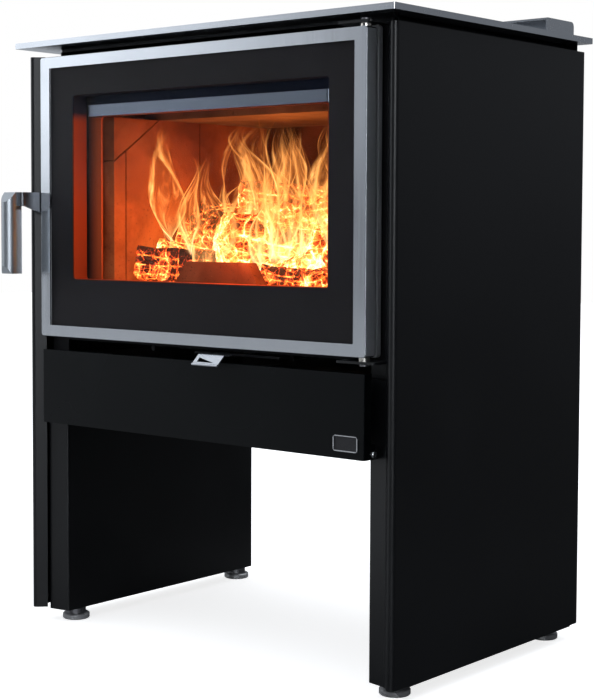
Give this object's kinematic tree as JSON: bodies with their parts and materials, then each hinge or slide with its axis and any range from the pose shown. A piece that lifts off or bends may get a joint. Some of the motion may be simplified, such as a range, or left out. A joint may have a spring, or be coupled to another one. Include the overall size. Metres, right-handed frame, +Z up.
{
  "type": "wood burning stove",
  "caption": "Free-standing steel wood burning stove on two box legs, with a wide framed glass door, lift handle, drop-down ash flap, air slider and top flue collar.",
  "frame": {"origin": "on the floor, midway between the object's left and right edges and between its front and rear edges, handle included", "axes": "+Z up, +Y from the glass door towards the rear, +X to the right as seen from the front"},
  "size_m": [0.68, 0.5134, 0.874],
  "materials": {
    "top_steel": "black baked stove paint, satin",
    "black_steel": "black baked stove paint, satin",
    "firebox_steel": "dark heat-proof paint, matt",
    "brushed_steel": "brushed stainless steel",
    "chrome_steel": "bright plated steel",
    "dark_steel": "blackened steel",
    "brass": "plain brass",
    "black_steel_plain": "mill-scale steel",
    "cast_iron": "grey cast iron, sooted",
    "firebrick": "cream fire clay, matt",
    "vermiculite": "pressed vermiculite, matt",
    "ceramic_glass": "clear ceramic glass, faintly smoked",
    "glass_print": "black ceramic enamel, glossy",
    "fibre_rope": "knitted glass-fibre rope",
    "ember": "ash and glowing embers",
    "wood_log": "split beech, charred",
    "badge_metal": "anodised aluminium, blank"
  },
  "bodies": {
    "stove": {"top_plate": "top_steel", "rear_hood": "top_steel", "side_panel_right": "black_steel", "side_panel_left": "black_steel", "leg_right": "black_steel", "leg_left": "black_steel", "rear_heat_shield": "black_steel", "shield_screws": "dark_steel", "convection_casing": "black_steel", "firebox_front_plate": "firebox_steel", "firebox_floor": "firebox_steel", "firebox_wall_right": "firebox_steel", "firebox_wall_left": "firebox_steel", "firebox_back": "firebox_steel", "firebox_top": "firebox_steel", "flue_collar": "firebox_steel", "flue_collar_bolts": "dark_steel", "firebricks_right": "firebrick", "firebricks_left": "firebrick", "firebricks_back": "firebrick", "firebricks_floor": "firebrick", "grate": "cast_iron", "baffle_plate": "vermiculite", "air_wash_bar": "brushed_steel", "log_stop_brick": "firebrick", "ember_bed": "ember", "logs": "wood_log", "ash_box": "firebox_steel", "ash_pan": "black_steel_plain", "damper_guide": "black_steel_plain", "hinge_bracket_lower": "black_steel", "hinge_bracket_upper": "black_steel", "hinge_pins": "dark_steel", "hinge_washers": "brass", "latch_catch": "dark_steel", "flap_pivot_brackets": "black_steel", "foot_lock_collars": "dark_steel"},
    "door": {"door_frame": "brushed_steel", "door_core_plate": "firebox_steel", "door_rear_pan": "brushed_steel", "door_spacers": "dark_steel", "door_glass": "ceramic_glass", "glass_border_print": "glass_print", "glass_gasket": "fibre_rope", "glass_clips": "dark_steel", "door_rope_seal": "fibre_rope", "door_hinge_blocks": "dark_steel", "handle_bush": "dark_steel"},
    "handle": {"handle_arm": "brushed_steel", "handle_shaft": "chrome_steel", "handle_grip": "brushed_steel"},
    "flap": {"flap_panel": "black_steel", "flap_pivot_pins": "chrome_steel", "badge": "badge_metal"},
    "air_control": {"air_control_tab": "brushed_steel", "air_damper": "black_steel_plain"},
    "foot_front_right_body": {"foot_front_right": "chrome_steel"},
    "foot_front_left_body": {"foot_front_left": "chrome_steel"},
    "foot_rear_right_body": {"foot_rear_right": "chrome_steel"},
    "foot_rear_left_body": {"foot_rear_left": "chrome_steel"}
  },
  "joints": [
    {"name": "door_hinge", "type": "hinge", "parent": "stove", "child": "door", "pos_m": [0.284, -0.19625, 0.62], "axis": [0, 0, 1], "range_deg": [0, 110]},
    {"name": "handle_lift", "type": "hinge", "parent": "door", "child": "handle", "pos_m": [-0.299, -0.19525, 0.62], "axis": [-1, 0, 0], "range_deg": [0, 40]},
    {"name": "flap_hinge", "type": "hinge", "parent": "stove", "child": "flap", "pos_m": [0, -0.18725, 0.307], "axis": [1, 0, 0], "range_deg": [0, 90]},
    {"name": "air_control_slide", "type": "slide", "parent": "stove", "child": "air_control", "axis": [-1, 0, 0], "range_m": [0, 0.09]},
    {"name": "foot_turn_front_right", "type": "hinge", "parent": "stove", "child": "foot_front_right_body", "pos_m": [0.294, -0.14125, 0.018], "axis": [0, 0, 1], "continuous": true},
    {"name": "foot_turn_front_left", "type": "hinge", "parent": "stove", "child": "foot_front_left_body", "pos_m": [-0.294, -0.14125, 0.018], "axis": [0, 0, 1], "continuous": true},
    {"name": "foot_turn_rear_right", "type": "hinge", "parent": "stove", "child": "foot_rear_right_body", "pos_m": [0.294, 0.21975, 0.018], "axis": [0, 0, 1], "continuous": true},
    {"name": "foot_turn_rear_left", "type": "hinge", "parent": "stove", "child": "foot_rear_left_body", "pos_m": [-0.294, 0.21975, 0.018], "axis": [0, 0, 1], "continuous": true}
  ]
}
